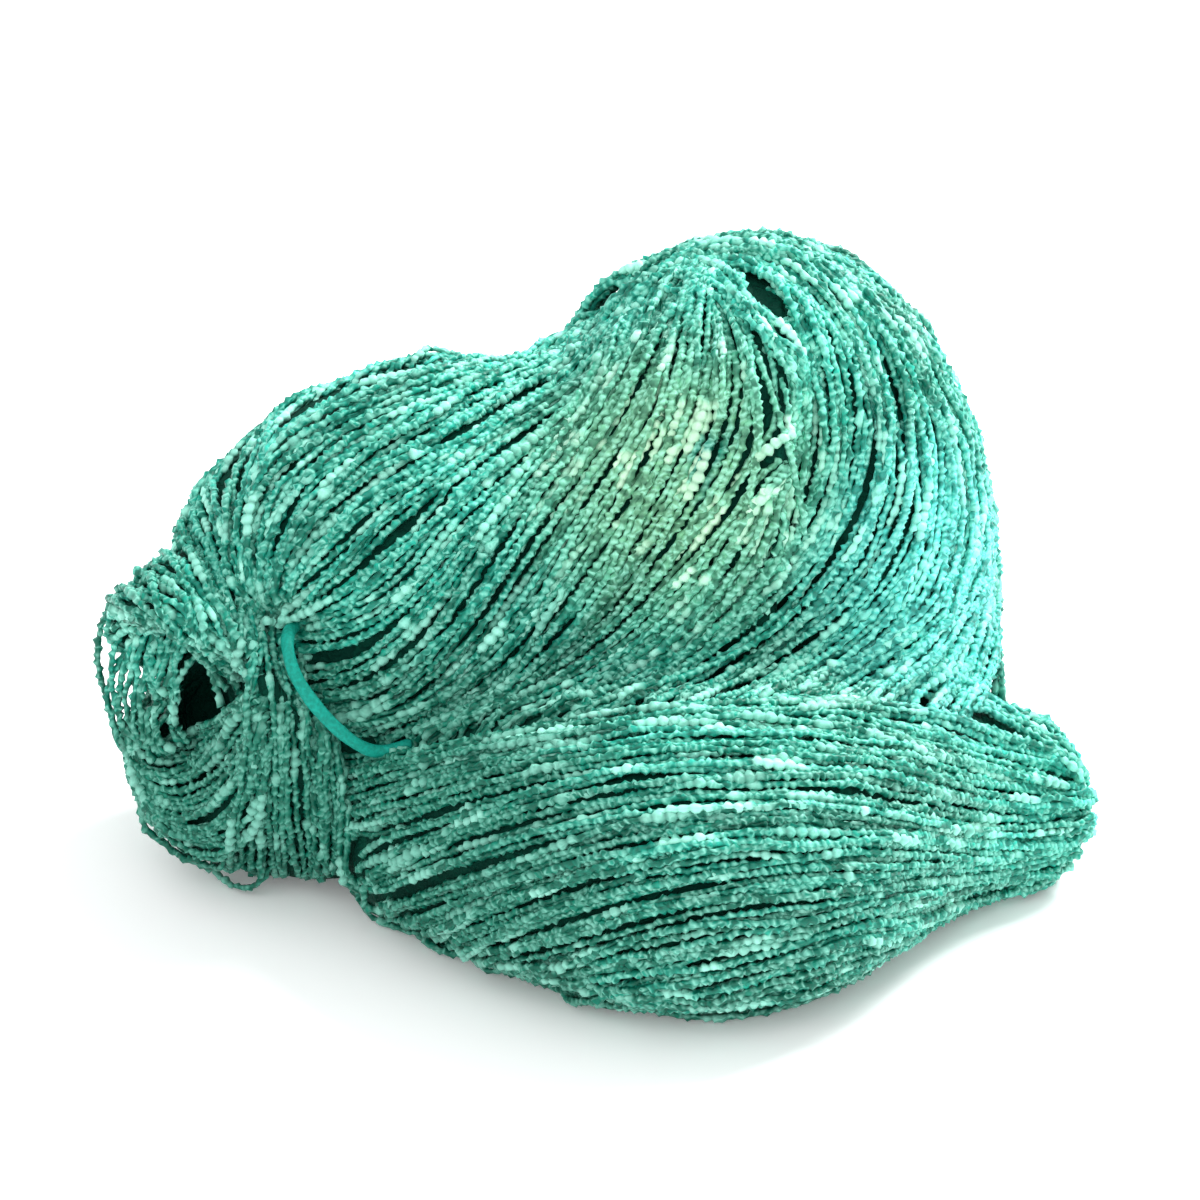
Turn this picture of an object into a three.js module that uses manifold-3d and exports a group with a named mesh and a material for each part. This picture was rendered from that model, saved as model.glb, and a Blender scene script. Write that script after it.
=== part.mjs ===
import * as THREE from "three";
import { mergeVertices } from "three/addons/utils/BufferGeometryUtils.js";
import Module from "manifold-3d";

// A hank of slub yarn, loosely twisted and folded back on itself so that it lies in two runs.
// Millimetres, +Z up. The hank rests on z = 0, and the origin is under the middle of its box.
// The front is -Y: the lower run lies in front, and the upper run stands behind it and leans on it.

// Driving dimensions
const yarnWidth = 2.4; // one strand of the yarn, slubs apart
const tieWidth = 4.0; // the soft cord that ties the hank's waist
const tieGap = 0.35; // room left round the tie where it sinks into the yarn
const restHeight = 0; // the surface that the hank lies on
const trimBlock = { across: 600, deep: 100 }; // what is trimmed off below that surface
const valleyDepth = { mean: 1.7, varies: 1.1 }; // how deep the valleys are between the main twists
const valleyChange = { perRidge: 2.4, perStep: 0.35 }; // how fast that depth varies, in radians
const hankMiddle = new THREE.Vector3(-1.7, -7.7, 0); // the middle of the hank's box, as the tables below give it
const up = new THREE.Vector3(0, 0, 1);

// How the joined skin is tidied
const shortestEdge = 0.3; // a shorter edge is closed up
const tidyPasses = 3; // how many times the skin is gone over
const sliverArea = 0.004; // twice the area, in square millimetres, below which a face is a sliver
const touchGap = 0.02; // how far a point is moved in where the skin touches itself
const mostTurn = 1.2; // how far a face may turn, in radians, as an edge beside it is closed up

// The runs of the hank
// Each table is one bundle of strands, a row for each section along it: the section's middle,
// its half width across the run, its half height, how far its crown leans across, how square it is
// (2 is an ellipse), and how far the strands have turned round the bundle by then, in degrees.
const section = ["x", "y", "z", "half", "rise", "lean", "square", "turn"];

const upperRun = {
  drawnIn: true,
  ridges: 17,
  pointsPerRidge: 3,
  steps: 42,
  rows: [
    [-122, 8, 54, 6, 12, 0, 2.0, -36],
    [-120, 8, 52.5, 22, 35.5, 0, 2.1, -32],
    [-114, 9, 52.5, 34, 48.5, 0, 2.2, -22],
    [-104, 11, 55.5, 43, 58.5, -2, 2.2, -12],
    [-88, 12, 62.5, 50, 66.5, -4, 2.2, 0],
    [-68, 13, 65.5, 55, 70.5, -6, 2.2, 14],
    [-44, 17, 67.5, 58, 73.5, -6, 2.2, 32],
    [-16, 22, 66.5, 59, 72.5, -4, 2.2, 56],
    [8, 26, 74.5, 59, 80.5, -2, 2.2, 80],
    [34, 29, 79.5, 60, 85.5, 0, 2.2, 112],
    [60, 29, 79.5, 57, 84.5, 0, 2.2, 150],
    [80, 20, 70.5, 50, 73.5, 0, 2.2, 186],
    [94, 12, 60.5, 44, 58.5, 0, 2.2, 212],
    [102, 10, 53.5, 28, 39.5, 0, 2.2, 226],
    [106, 9, 50, 8, 12, 0, 2.0, 232],
  ],
};

const lowerRun = {
  ridges: 13,
  pointsPerRidge: 3,
  steps: 30,
  rows: [
    [-67, -24, 25, 6, 9, 0, 2.0, 0],
    [-63, -28, 24.5, 19, 23.5, 0, 2.2, 4],
    [-52, -33, 27.5, 27, 30.5, 0, 2.3, 10],
    [-28, -46, 32.5, 36, 36.5, 0, 2.3, 20],
    [4, -62, 36.5, 44, 40.5, 0, 2.3, 34],
    [34, -69, 37.5, 46, 41.5, 0, 2.3, 48],
    [56, -52, 35.5, 41, 39.5, 0, 2.3, 60],
    [76, -32, 31.5, 34, 35.5, 0, 2.2, 74],
    [98, -16, 27.5, 28, 31.5, 0, 2.2, 90],
    [117, -12, 23.5, 25, 26.5, 0, 2.2, 106],
    [130, -12, 22.5, 19, 21.5, 0, 2.1, 120],
    [138, -11, 23, 7, 8, 0, 2.0, 126],
  ],
};

// The strands that come up behind the upper run, arch over its crown and drop down its right side
const archRun = {
  ridges: 8,
  pointsPerRidge: 3,
  steps: 32,
  inside: new THREE.Vector3(45, 30, 60),
  rows: [
    [-8, 62, 2, 14, 8, 0, 2.0, -8],
    [-8, 70, 24, 24, 13, 0, 2.1, -6],
    [-7, 75, 62, 29, 13, 0, 2.1, -2],
    [-1, 74, 100, 30, 15, 0, 2.1, 4],
    [13, 64, 132, 31, 18, 0, 2.1, 8],
    [32, 50, 149, 33, 19, 0, 2.1, 12],
    [54, 38, 150, 34, 20, 0, 2.1, 18],
    [71, 27, 134, 36, 20, 0, 2.1, 24],
    [82, 17, 108, 38, 20, 0, 2.1, 30],
    [87, 9, 80, 38, 20, 0, 2.1, 36],
    [89, 2, 50, 36, 20, 0, 2.1, 42],
    [91, 0, 24, 30, 19, 0, 2.1, 48],
    [91, 0, 4, 14, 9, 0, 2.0, 52],
  ],
};

// The loop end round the eye, from the waist up and over to the left and back along the floor
const loopRun = {
  ridges: 6,
  pointsPerRidge: 3,
  steps: 26,
  inside: new THREE.Vector3(-109, 0, 55),
  level: true,
  rows: [
    [-92, -34, 76, 6, 5, 0, 2.0, 0],
    [-98, -28, 82, 13, 7, 0, 2.0, 0],
    [-109, -15, 90, 22, 8, 0, 2.1, 0],
    [-121, -3, 88, 22, 7, 0, 2.1, 0],
    [-122, 6, 73, 20, 4, 0, 2.1, 0],
    [-120, 9, 55, 18, 3, 0, 2.1, 0],
    [-124, 4, 37, 20, 7, 0, 2.2, 0],
    [-114, -5, 22, 23, 12, 0, 2.2, 0],
    [-101, -16, 21, 23, 14, 0, 2.2, 0],
    [-95, -28, 38, 18, 11, 0, 2.2, 0],
    [-95, -36, 58, 10, 7, 0, 2.0, 0],
    [-95, -38, 68, 5, 5, 0, 2.0, 0],
  ],
};

// The curtain of strands that hangs from the waist to the floor
const curtainRun = {
  ridges: 6,
  pointsPerRidge: 3,
  steps: 12,
  inside: new THREE.Vector3(-80, 20, 60),
  rows: [
    [-92, -38, 78, 6, 4, 0, 2.0, 0],
    [-90, -41, 66, 11, 7, 0, 2.2, 0],
    [-84, -38, 42, 19, 9, 0, 2.2, 0],
    [-80, -27, 18, 24, 9, 0, 2.2, 0],
    [-78, -17, 4, 24, 7, 0, 2.2, 0],
    [-78, -10, -6, 10, 4, 0, 2.0, 0],
  ],
};

// The waist, where the tie draws the upper run in
const waist = { middle: new THREE.Vector3(-90, -42, 80), reach: 24, depth: 9 };
// The eye of the loop, a blind hollow between the strands: its middle and its radii
const eye = { middle: [-112, -30, 56], radii: [8, 34, 15], tilt: 20 };
const eggSides = { around: 20, high: 14 };
// The gap at the far left, where only loose strands bridge the loop
const loopGap = { middle: [-141, 0, 58], radii: [20, 80, 23], tilt: 22 };

// Loose strands that stand clear of the bundles, each through a few points
const strays = [
  [[-122, -4, 90], [-132, -4, 85], [-139, -4, 75], [-141, -4, 63], [-139, -4, 51], [-135, -5, 37], [-122, -8, 24]],
  [[-120, -8, 90], [-131, -11, 79], [-136, -12, 67], [-136, -12, 55], [-132, -12, 41], [-120, -13, 29]],
  [[-124, 2, 86], [-132, 5, 73], [-133, 6, 60], [-132, 6, 47], [-129, 5, 36], [-120, 2, 24]],
  [[-120, -2, 84], [-127, -1, 72], [-128, 0, 56], [-126, 0, 40], [-118, -2, 26]],
  [[-90, -30, 16], [-96, -30, 6], [-104, -24, 2.2], [-110, -14, 4], [-104, -6, 8]],
  [[6, 66, 120], [10, 64, 146], [18, 58, 161], [30, 50, 168], [44, 42, 166]],
  [[24, 44, 160], [34, 18, 163], [44, -4, 152], [52, -20, 130], [56, -24, 110]],
  [[-44, -48, 30], [-56, -50, 22], [-62, -44, 8], [-56, -38, 2.5], [-44, -40, 4]],
];

// The tie, from where it comes out of the waist to where it goes into the crease between the runs
const tieRoute = [
  [-86, -24, 84],
  [-88, -33, 86],
  [-88.5, -40.5, 85],
  [-87, -44, 80],
  [-83, -46, 74],
  [-77, -47, 67],
  [-69, -47, 60],
  [-61, -46, 56],
  [-53, -43, 56],
  [-46, -37, 57],
  [-40, -28, 57],
  [-36, -20, 56],
];
const straySides = 5;
const straySteps = 12;
const tieSteps = 32;
const tieSides = 8;

// Tables into curves

const slopeStep = 0.004; // the share of a run over which its direction is measured
const thinnest = 0.5; // the least half width or half height of a section

// The value of one column part of the way along a table, on a smooth curve through its rows
function valueAlong(rows, column, along) {
  const last = rows.length - 1;
  const place = Math.min(along * last, last - 1e-9);
  const row = Math.floor(place);
  const part = place - row;
  const [before, from, to, after] = [row - 1, row, row + 1, row + 2].map(
    (index) => rows[THREE.MathUtils.clamp(index, 0, last)][column],
  );
  const slopeFrom = (to - before) / 2;
  const slopeTo = (after - from) / 2;
  const rest = 1 - part;
  return (
    from * (1 + 2 * part) * rest * rest +
    to * (3 - 2 * part) * part * part +
    slopeFrom * part * rest * rest -
    slopeTo * part * part * rest
  );
}

// The section of a run part of the way along it, with its own directions
function sectionAlong(run, along) {
  const at = Object.fromEntries(section.map((name, column) => [name, valueAlong(run.rows, column, along)]));
  const ahead = Math.min(along + slopeStep, 1);
  const behind = Math.max(along - slopeStep, 0);
  const tangent = new THREE.Vector3(
    ...[0, 1, 2].map((column) => valueAlong(run.rows, column, ahead) - valueAlong(run.rows, column, behind)),
  );
  if (!run.inside) tangent.z = 0;
  tangent.normalize();
  at.middle = new THREE.Vector3(at.x, at.y, at.z);
  const outward = run.inside ? at.middle.clone().sub(run.inside) : up.clone();
  if (run.level) outward.y = 0;
  at.across = new THREE.Vector3().crossVectors(tangent, outward).normalize();
  at.out = new THREE.Vector3().crossVectors(at.across, tangent).normalize();
  return at;
}

// A point on a run's skin: angle 0 is to the run's right hand, and 90 is its crown
function skinPoint(at, angle, inset) {
  const power = 2 / at.square;
  const cosine = Math.cos(angle);
  const sine = Math.sin(angle);
  const side = Math.sign(cosine) * Math.abs(cosine) ** power;
  const height = Math.sign(sine) * Math.abs(sine) ** power;
  const half = Math.max(at.half - inset, thinnest);
  const rise = Math.max(at.rise - inset, thinnest);
  return at.middle
    .clone()
    .addScaledVector(at.across, side * half + height * at.lean)
    .addScaledVector(at.out, height * rise);
}

// A closed skin from rings of points, with a point closing each end
function closedSkin(rings) {
  const around = rings[0].length;
  const points = rings.flat();
  const faces = [];
  for (let ring = 0; ring + 1 < rings.length; ring += 1) {
    for (let side = 0; side < around; side += 1) {
      const here = ring * around + side;
      const next = ring * around + ((side + 1) % around);
      const rising = points[here].distanceTo(points[next + around]);
      const falling = points[next].distanceTo(points[here + around]);
      if (rising < falling) faces.push(here, next + around, next, here, here + around, next + around);
      else faces.push(here, here + around, next, next, here + around, next + around);
    }
  }
  for (const [ring, first] of [[0, true], [rings.length - 1, false]]) {
    const middle = new THREE.Vector3();
    rings[ring].forEach((point) => middle.addScaledVector(point, 1 / around));
    const tip = points.push(middle) - 1;
    for (let side = 0; side < around; side += 1) {
      const here = ring * around + side;
      const next = ring * around + ((side + 1) % around);
      faces.push(...(first ? [here, next, tip] : [next, here, tip]));
    }
  }
  const geometry = new THREE.BufferGeometry().setFromPoints(points);
  geometry.setIndex(faces);
  return geometry;
}

// Draws a point in towards the middle of its section where the tie pulls on the waist
function drawIn(point, middle) {
  const drawn = waist.depth * Math.exp(-((point.distanceTo(waist.middle) / waist.reach) ** 2));
  point.addScaledVector(middle.clone().sub(point).normalize(), drawn);
}

// One bundle of strands, its valleys turning round it as the strands do
function bundle(run) {
  const around = run.ridges * run.pointsPerRidge;
  const rings = [];
  for (let step = 0; step <= run.steps; step += 1) {
    const at = sectionAlong(run, step / run.steps);
    const ring = [];
    for (let side = 0; side < around; side += 1) {
      const angle = (2 * Math.PI * side) / around + THREE.MathUtils.degToRad(at.turn);
      const ridge = Math.floor(side / run.pointsPerRidge);
      const wave = Math.sin(ridge * valleyChange.perRidge + step * valleyChange.perStep);
      const depth = valleyDepth.mean + valleyDepth.varies * wave;
      const point = skinPoint(at, angle, side % run.pointsPerRidge ? 0 : depth);
      if (run.drawnIn) drawIn(point, at.middle);
      ring.push(point);
    }
    rings.push(ring);
  }
  return closedSkin(rings);
}

// A round strand or cord through a few points
function cord(route, width, sides, steps) {
  const curve = new THREE.CatmullRomCurve3(route.map((point) => new THREE.Vector3(...point)), false, "centripetal");
  const outline = new THREE.Shape();
  for (let side = 0; side < sides; side += 1) {
    const angle = (2 * Math.PI * side) / sides;
    const point = [(width / 2) * Math.cos(angle), (width / 2) * Math.sin(angle)];
    if (side) outline.lineTo(...point);
    else outline.moveTo(...point);
  }
  return new THREE.ExtrudeGeometry(outline, { steps, extrudePath: curve, curveSegments: 1 });
}

// A tilted egg, used to hollow the eye and the gap
function egg({ middle, radii, tilt }) {
  const shape = new THREE.SphereGeometry(1, eggSides.around, eggSides.high);
  shape.scale(...radii);
  shape.rotateX(THREE.MathUtils.degToRad(-tilt));
  shape.translate(...middle);
  return shape;
}

// Joining and cutting
const wasm = await Module();
wasm.setup();

function toSolid(geometry) {
  const bare = new THREE.BufferGeometry();
  bare.setAttribute("position", geometry.getAttribute("position"));
  if (geometry.index) bare.setIndex(geometry.index);
  const merged = mergeVertices(bare, 1e-4);
  const vertProperties = new Float32Array(merged.getAttribute("position").array);
  const triVerts = new Uint32Array(merged.index.array);
  return new wasm.Manifold(new wasm.Mesh({ numProp: 3, vertProperties, triVerts }));
}

// The outer skin alone, without the small pockets that are closed in where valleys cross
function outerSkin({ triVerts, vertProperties }) {
  const group = Array.from({ length: vertProperties.length / 3 }, (_, index) => index);
  const leader = (index) => {
    while (group[index] !== index) index = group[index] = group[group[index]];
    return index;
  };
  for (let corner = 0; corner < triVerts.length; corner += 3) {
    group[leader(triVerts[corner])] = leader(triVerts[corner + 1]);
    group[leader(triVerts[corner + 1])] = leader(triVerts[corner + 2]);
  }
  const sizes = new Map();
  triVerts.forEach((index) => sizes.set(leader(index), (sizes.get(leader(index)) ?? 0) + 1));
  const [largest] = [...sizes].reduce((best, entry) => (entry[1] > best[1] ? entry : best));
  return Array.from(triVerts).filter((index) => leader(index) === largest);
}

// Closes up the shortest edges, which are left where two skins cross, parts the points where the skin
// touches itself, and gives the faces that remain
function tidySkin(points, corners) {
  const faces = [];
  for (let corner = 0; corner < corners.length; corner += 3) faces.push(corners.slice(corner, corner + 3));
  const facesAt = points.map(() => new Set());
  faces.forEach((face, index) => face.forEach((point) => facesAt[point].add(index)));
  const neighbours = (point) => new Set([...facesAt[point]].flatMap((index) => faces[index]));
  const normalOf = (face) => {
    const [a, b, c] = face.map((point) => points[point]);
    return new THREE.Vector3().subVectors(b, a).cross(new THREE.Vector3().subVectors(c, a));
  };
  const close = (kept, gone) => {
    const around = neighbours(kept);
    const shared = [...neighbours(gone)].filter((point) => around.has(point) && point !== kept && point !== gone);
    if (shared.length !== 2) return;
    for (const index of facesAt[gone]) {
      if (faces[index].includes(kept)) continue;
      const moved = faces[index].map((point) => (point === gone ? kept : point));
      const before = normalOf(faces[index]);
      const after = normalOf(moved);
      const turned = before.angleTo(after) > mostTurn && before.length() > sliverArea;
      if (turned || after.length() < sliverArea) return;
    }
    for (const index of [...facesAt[gone]]) {
      if (faces[index].includes(kept)) {
        faces[index].forEach((point) => facesAt[point].delete(index));
        faces[index] = null;
      } else {
        faces[index] = faces[index].map((point) => (point === gone ? kept : point));
        facesAt[kept].add(index);
      }
    }
    facesAt[gone].clear();
  };
  for (let pass = 0; pass < tidyPasses; pass += 1) {
    for (let index = 0; index < faces.length; index += 1) {
      for (let side = 0; faces[index] && side < 3; side += 1) {
        const from = faces[index][side];
        const to = faces[index][(side + 1) % 3];
        if (points[from].distanceTo(points[to]) > shortestEdge) continue;
        if (points[from].z <= points[to].z) close(from, to);
        else close(to, from);
      }
    }
  }
  const seen = new Set();
  for (const [index, point] of points.entries()) {
    if (!facesAt[index].size) continue;
    const place = point.toArray().map((value) => value.toFixed(3)).join();
    if (seen.has(place)) {
      const normal = new THREE.Vector3();
      for (const face of facesAt[index]) normal.add(normalOf(faces[face]));
      point.addScaledVector(normal.normalize(), -touchGap);
    }
    seen.add(place);
  }
  return faces.filter(Boolean).flat();
}

function toGeometry(solid) {
  const mesh = solid.getMesh();
  const points = [];
  for (let index = 0; index < mesh.vertProperties.length; index += 3) {
    points.push(new THREE.Vector3().fromArray(mesh.vertProperties, index));
  }
  const corners = tidySkin(points, outerSkin(mesh));
  const geometry = new THREE.BufferGeometry().setFromPoints(points);
  geometry.setIndex(corners);
  geometry.computeVertexNormals();
  return geometry;
}

// The hank: its bundles and loose strands joined, hollowed, and flat where it rests
let hankSolid = toSolid(bundle(upperRun));
hankSolid = hankSolid.subtract(toSolid(egg(loopGap)));
for (const run of [lowerRun, archRun, loopRun, curtainRun]) {
  hankSolid = hankSolid.add(toSolid(bundle(run)));
}
hankSolid = hankSolid.subtract(toSolid(egg(eye)));
for (const route of strays) {
  hankSolid = hankSolid.add(toSolid(cord(route, yarnWidth, straySides, straySteps)));
}
const belowRest = new THREE.BoxGeometry(trimBlock.across, trimBlock.across, trimBlock.deep);
belowRest.translate(0, 0, restHeight - trimBlock.deep / 2);
hankSolid = hankSolid.subtract(toSolid(belowRest));
hankSolid = hankSolid.subtract(toSolid(cord(tieRoute, tieWidth + 2 * tieGap, tieSides, tieSteps)));

const yarnMaterial = new THREE.MeshStandardMaterial({ color: 0x3fae9a, roughness: 0.85, metalness: 0 });
const tieMaterial = new THREE.MeshStandardMaterial({ color: 0x12958a, roughness: 0.8, metalness: 0 });

const hank = new THREE.Mesh(toGeometry(hankSolid), yarnMaterial);
hank.name = "hank";
const tie = new THREE.Mesh(cord(tieRoute, tieWidth, tieSides, tieSteps), tieMaterial);
tie.name = "tie";

const slubYarn = new THREE.Group();
slubYarn.name = "slub_yarn";
slubYarn.add(hank, tie);
for (const piece of slubYarn.children) piece.position.sub(hankMiddle);

export default slubYarn;
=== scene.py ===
# %% [markdown]
# A hank of slub yarn.
# The real object is some hundreds of turns of hand-dyed yarn, twisted loosely and folded back on
# itself. An upper run stands behind, a lower run lies in front of it, and the left end is an open loop.
# It could be one lump with a bumpy material, but the outline, the gaps and the shadows of real yarn come
# from separate strands. So each strand that shows is modelled here, over a dark under-layer.

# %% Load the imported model
import math

import bmesh
import bpy
import numpy as np
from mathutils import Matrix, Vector
from mathutils.bvhtree import BVHTree


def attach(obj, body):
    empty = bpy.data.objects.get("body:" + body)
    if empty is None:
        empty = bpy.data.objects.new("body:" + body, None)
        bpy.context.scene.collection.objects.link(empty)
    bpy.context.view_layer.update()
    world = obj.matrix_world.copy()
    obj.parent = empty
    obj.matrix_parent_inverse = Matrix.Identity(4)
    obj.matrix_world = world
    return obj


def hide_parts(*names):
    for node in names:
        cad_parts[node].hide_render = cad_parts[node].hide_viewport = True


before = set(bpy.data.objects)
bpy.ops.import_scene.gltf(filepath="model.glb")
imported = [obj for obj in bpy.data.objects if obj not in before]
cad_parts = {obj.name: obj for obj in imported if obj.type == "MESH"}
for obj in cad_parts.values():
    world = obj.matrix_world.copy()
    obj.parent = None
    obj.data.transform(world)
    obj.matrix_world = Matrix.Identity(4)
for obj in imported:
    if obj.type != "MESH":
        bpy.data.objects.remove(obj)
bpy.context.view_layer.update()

# %% [markdown]
# Sizes of the yarn.
# A slub yarn is spun unevenly: a thin curly stretch, then a chain of thick soft lumps. The curls are
# short kinks where one ply is longer than the other. All sizes are in millimetres, as a maker would
# measure them with a rule, and the meshes are turned into metres at the end.

# %% Sizes in millimetres
to_model = np.array([1.7, 7.7, 0.0])      # from the tables' origin to the model's origin
strand_pitch = 2.5                        # from one strand to the next where they lie side by side
curl_length = 2.35                        # one curl along the strand
crest_radius = 1.20                       # the strand at the crest of a curl
dip_radius = 0.84                         # and between two curls
curl_offset = 0.50                        # how far a curl swings out from the strand's middle
slub_bead = 3.1                           # one soft lump of a slub along the strand
slub_radius = 1.74
slub_every = 56.0                         # mean length from one slub to the next
far_curl = 2.85                           # a longer curl for the strands at the back and underneath
near_sides, far_sides = 5, 4              # points round a strand in front, and at the back
floor_rest = 2.2                          # the middle of a strand that lies on the floor
sample_step = 2.5                         # how far apart a strand's path is worked out
loose_reach = 1.7                         # skin points this near a loose strand's middle belong to it
seen_facing = 0.15                        # skin turned further to the camera than this is left to the combs
back_facing = -0.1                        # a strand turned further away than this is a far one
farthest_out = 16.0                       # a strand further than this outside the skin isn't laid
lowest_place = -2.5                       # nor one that is lower than this
chance = np.random.default_rng(61)

# %% [markdown]
# The bundles.
# A hank is a few thick bundles of strands. Each table below is one bundle, with a row for each section
# along it: the section's middle, half its width, half its height, how far its crown leans, how square
# it is, and how far the strands have turned round it by then. They are the same tables as the solid
# model's, so that the strands lie on its skin. A bundle could be drawn as a curve with a thickness, but
# a table of sections also gives the flattened, leaning shapes of a soft thing that lies on a table.

# %% Tables of the bundles
upper_run = dict(rows=[
    [-122, 8, 54, 6, 12, 0, 2.0, -36],
    [-120, 8, 52.5, 22, 35.5, 0, 2.1, -32],
    [-114, 9, 52.5, 34, 48.5, 0, 2.2, -22],
    [-104, 11, 55.5, 43, 58.5, -2, 2.2, -12],
    [-88, 12, 62.5, 50, 66.5, -4, 2.2, 0],
    [-68, 13, 65.5, 55, 70.5, -6, 2.2, 14],
    [-44, 17, 67.5, 58, 73.5, -6, 2.2, 32],
    [-16, 22, 66.5, 59, 72.5, -4, 2.2, 56],
    [8, 26, 74.5, 59, 80.5, -2, 2.2, 80],
    [34, 29, 79.5, 60, 85.5, 0, 2.2, 112],
    [60, 29, 79.5, 57, 84.5, 0, 2.2, 150],
    [80, 20, 70.5, 50, 73.5, 0, 2.2, 186],
    [94, 12, 60.5, 44, 58.5, 0, 2.2, 212],
    [102, 10, 53.5, 28, 39.5, 0, 2.2, 226],
    [106, 9, 50, 8, 12, 0, 2.0, 232],
])
lower_run = dict(rows=[
    [-67, -24, 25, 6, 9, 0, 2.0, 0],
    [-63, -28, 24.5, 19, 23.5, 0, 2.2, 4],
    [-52, -33, 27.5, 27, 30.5, 0, 2.3, 10],
    [-28, -46, 32.5, 36, 36.5, 0, 2.3, 20],
    [4, -62, 36.5, 44, 40.5, 0, 2.3, 34],
    [34, -69, 37.5, 46, 41.5, 0, 2.3, 48],
    [56, -52, 35.5, 41, 39.5, 0, 2.3, 60],
    [76, -32, 31.5, 34, 35.5, 0, 2.2, 74],
    [98, -16, 27.5, 28, 31.5, 0, 2.2, 90],
    [117, -12, 23.5, 25, 26.5, 0, 2.2, 106],
    [130, -12, 22.5, 19, 21.5, 0, 2.1, 120],
    [138, -11, 23, 7, 8, 0, 2.0, 126],
])
arch_run = dict(inside=(45, 30, 60), rows=[
    [-8, 62, 2, 14, 8, 0, 2.0, -8],
    [-8, 70, 24, 24, 13, 0, 2.1, -6],
    [-7, 75, 62, 29, 13, 0, 2.1, -2],
    [-1, 74, 100, 30, 15, 0, 2.1, 4],
    [13, 64, 132, 31, 18, 0, 2.1, 8],
    [32, 50, 149, 33, 19, 0, 2.1, 12],
    [54, 38, 150, 34, 20, 0, 2.1, 18],
    [71, 27, 134, 36, 20, 0, 2.1, 24],
    [82, 17, 108, 38, 20, 0, 2.1, 30],
    [87, 9, 80, 38, 20, 0, 2.1, 36],
    [89, 2, 50, 36, 20, 0, 2.1, 42],
    [91, 0, 24, 30, 19, 0, 2.1, 48],
    [91, 0, 4, 14, 9, 0, 2.0, 52],
])
loop_run = dict(inside=(-109, 0, 55), level=True, rows=[
    [-92, -34, 76, 6, 5, 0, 2.0, 0],
    [-98, -28, 82, 13, 7, 0, 2.0, 0],
    [-109, -15, 90, 22, 8, 0, 2.1, 0],
    [-121, -3, 88, 22, 7, 0, 2.1, 0],
    [-122, 6, 73, 20, 4, 0, 2.1, 0],
    [-120, 9, 55, 18, 3, 0, 2.1, 0],
    [-124, 4, 37, 20, 7, 0, 2.2, 0],
    [-114, -5, 22, 23, 12, 0, 2.2, 0],
    [-101, -16, 21, 23, 14, 0, 2.2, 0],
    [-95, -28, 38, 18, 11, 0, 2.2, 0],
    [-95, -36, 58, 10, 7, 0, 2.0, 0],
    [-95, -38, 68, 5, 5, 0, 2.0, 0],
])
waist = dict(middle=np.array([-90.0, -42.0, 80.0]), reach=24.0, depth=9.0)
solid_loose_strands = [
    [[-122, -4, 90], [-132, -4, 85], [-139, -4, 75], [-141, -4, 63], [-139, -4, 51], [-135, -5, 37],
     [-122, -8, 24]],
    [[-120, -8, 90], [-131, -11, 79], [-136, -12, 67], [-136, -12, 55], [-132, -12, 41], [-120, -13, 29]],
    [[-124, 2, 86], [-132, 5, 73], [-133, 6, 60], [-132, 6, 47], [-129, 5, 36], [-120, 2, 24]],
    [[-120, -2, 84], [-127, -1, 72], [-128, 0, 56], [-126, 0, 40], [-118, -2, 26]],
    [[-90, -30, 16], [-96, -30, 6], [-104, -24, 2.2], [-110, -14, 4], [-104, -6, 8]],
    [[6, 66, 120], [10, 64, 146], [18, 58, 161], [30, 50, 168], [44, 42, 166]],
    [[24, 44, 160], [34, 18, 163], [44, -4, 152], [52, -20, 130], [56, -24, 110]],
    [[-44, -48, 30], [-56, -50, 22], [-62, -44, 8], [-56, -38, 2.5], [-44, -40, 4]],
]

# %% [markdown]
# Reading a table.
# A smooth curve through the rows gives the section anywhere along a bundle. Blender's own curves could
# do it, but many strands need the same section at many places, and arrays give them all in one step.

# %% From a table to points on the skin
def column_along(rows, column, along):
    rows = np.asarray(rows, float)
    last = len(rows) - 1
    place = np.minimum(along * last, last - 1e-9)
    row = place.astype(int)
    part = place - row
    rest = 1 - part
    before, here, there, after = (rows[np.clip(row + step, 0, last), column] for step in (-1, 0, 1, 2))
    return (here * (1 + 2 * part) * rest ** 2 + there * (3 - 2 * part) * part ** 2
            + (there - before) / 2 * part * rest ** 2 - (after - here) / 2 * part ** 2 * rest)


def unit(vectors):
    length = np.linalg.norm(vectors, axis=-1, keepdims=True)
    return vectors / np.maximum(length, 1e-9)


def sections(run, along):
    names = ("half", "rise", "lean", "square", "turn")
    at = {name: column_along(run["rows"], 3 + index, along) for index, name in enumerate(names)}
    at["middle"] = np.stack([column_along(run["rows"], axis, along) for axis in range(3)], -1)
    ahead, behind = (np.stack([column_along(run["rows"], axis, np.clip(along + step, 0, 1))
                               for axis in range(3)], -1) for step in (0.004, -0.004))
    tangent = ahead - behind
    if "inside" in run:
        outward = at["middle"] - np.array(run["inside"], float)
    else:
        tangent[..., 2] = 0
        outward = np.broadcast_to(np.array([0.0, 0.0, 1.0]), tangent.shape).copy()
    if run.get("level"):
        outward[..., 1] = 0
    tangent = unit(tangent)
    at["across"] = unit(np.cross(tangent, outward))
    at["out"] = unit(np.cross(at["across"], tangent))
    return at


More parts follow.
